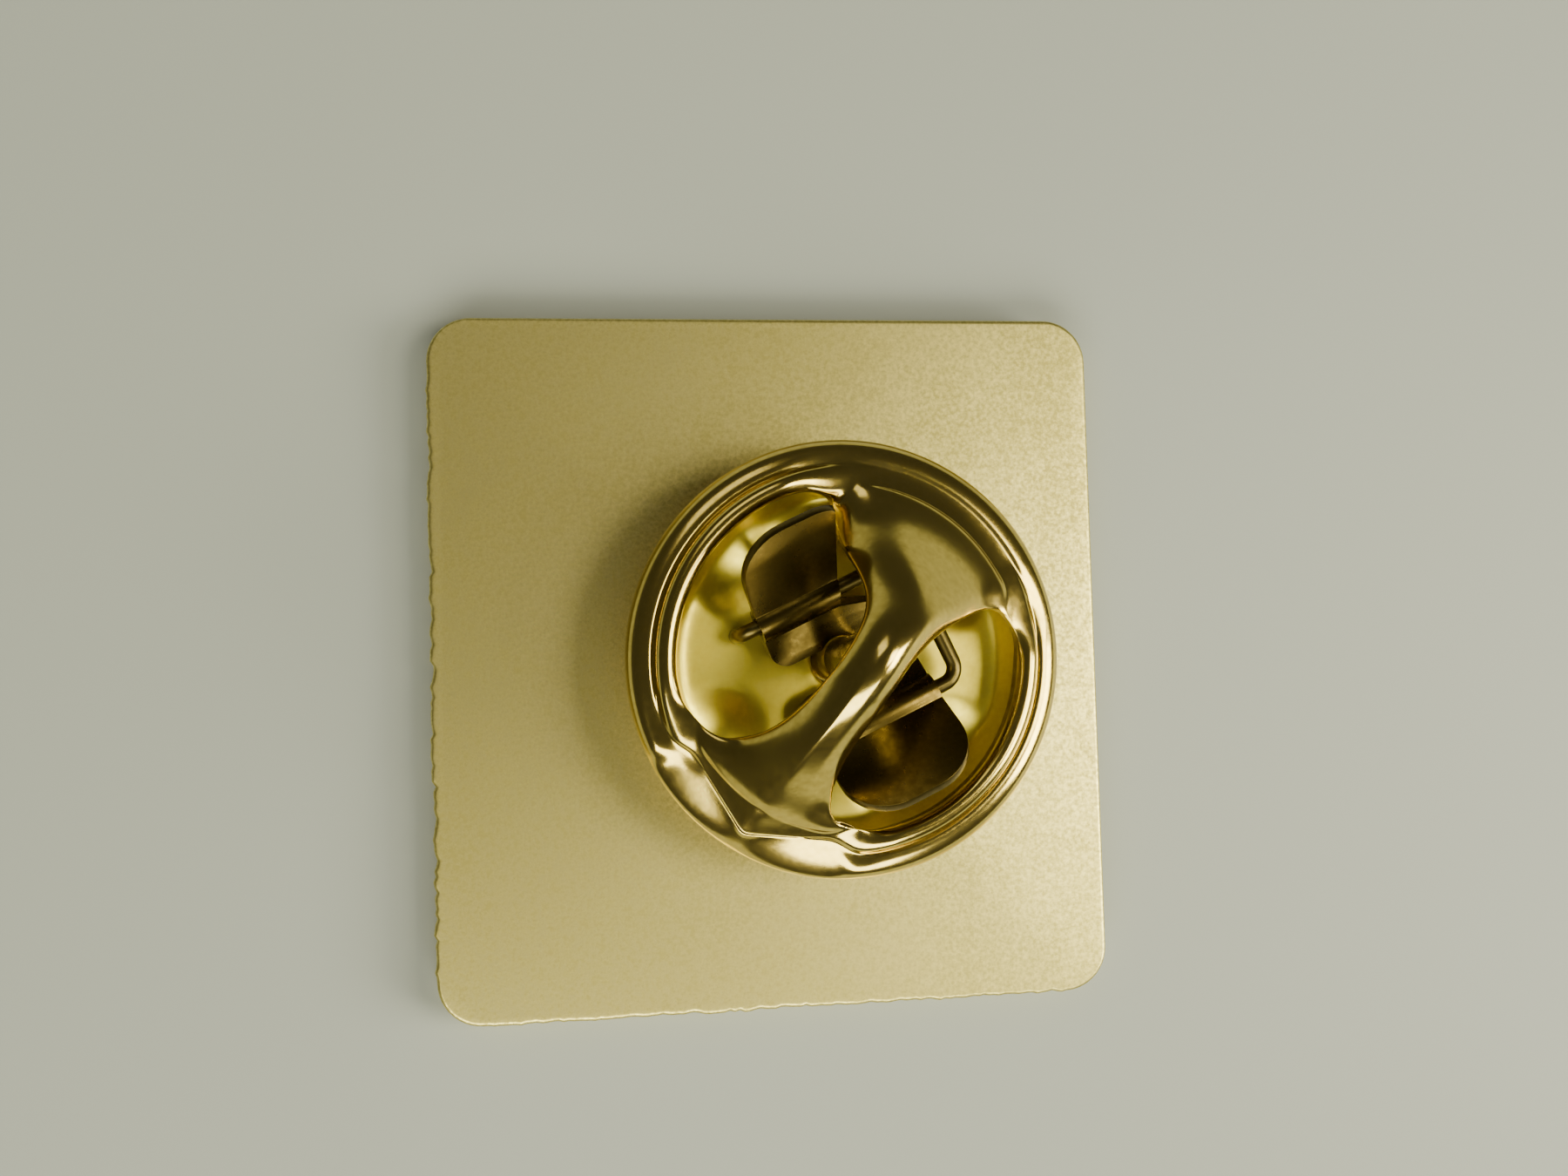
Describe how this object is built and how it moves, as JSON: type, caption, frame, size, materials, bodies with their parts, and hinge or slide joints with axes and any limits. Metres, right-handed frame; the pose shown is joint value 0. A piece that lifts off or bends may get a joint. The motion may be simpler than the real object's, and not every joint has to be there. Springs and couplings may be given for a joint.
{
  "type": "enamel pin",
  "caption": "Square gold-tone lapel pin with an enamelled front and a round butterfly clutch gripping the needle on its back.",
  "frame": {"origin": "centre of the plate's outline in the plane of the enamelled front face, which it lies on", "axes": "+Z from the front face up through the back to the clutch, +Y along the plate's slightly longer side, +X to the side the needle is offset towards"},
  "size_m": [0.0186, 0.019, 0.0079],
  "materials": {
    "struck_gilt": "satin gold plate with a fine die-struck grain",
    "bright_gilt": "bright gold plate on pressed brass",
    "wing_brass": "semi-bright gold plate on spring brass",
    "drawn_gilt": "bright drawn wire, gold plated",
    "gilt_solder": "satin plated solder",
    "enamel_ivory": "glossy soft enamel",
    "enamel_blue": "glossy soft enamel",
    "enamel_teal": "glossy soft enamel"
  },
  "bodies": {
    "pin": {"badge_plate": "struck_gilt", "enamel_corner_lower_left": "enamel_ivory", "enamel_corner_lower_right": "enamel_ivory", "enamel_corner_upper_left": "enamel_ivory", "enamel_corner_upper_right": "enamel_ivory", "enamel_field": "enamel_blue", "enamel_core": "enamel_teal", "needle": "drawn_gilt", "solder_joint": "gilt_solder"},
    "clutch": {"clutch_base": "bright_gilt", "clutch_cap": "bright_gilt", "spring_wire": "drawn_gilt"},
    "wing_left": {"wing_left": "wing_brass"},
    "wing_right": {"wing_right": "wing_brass"}
  },
  "joints": [
    {"name": "clutch_slide", "type": "slide", "parent": "pin", "child": "clutch", "axis": [0, 0, 1], "range_m": [0, 0.0065]},
    {"name": "wing_left_hinge", "type": "hinge", "parent": "clutch", "child": "wing_left", "pos_m": [0.00077, 0.00159, 0.00395], "axis": [0.9085, 0.4179, 0], "range_deg": [0, 10], "stiffness_Nm_per_rad": 0.02, "springref_deg": -2.86},
    {"name": "wing_right_hinge", "type": "hinge", "parent": "clutch", "child": "wing_right", "pos_m": [0.00223, -0.00159, 0.00395], "axis": [-0.9085, -0.4179, 0], "range_deg": [0, 10], "stiffness_Nm_per_rad": 0.02, "springref_deg": -2.86}
  ]
}
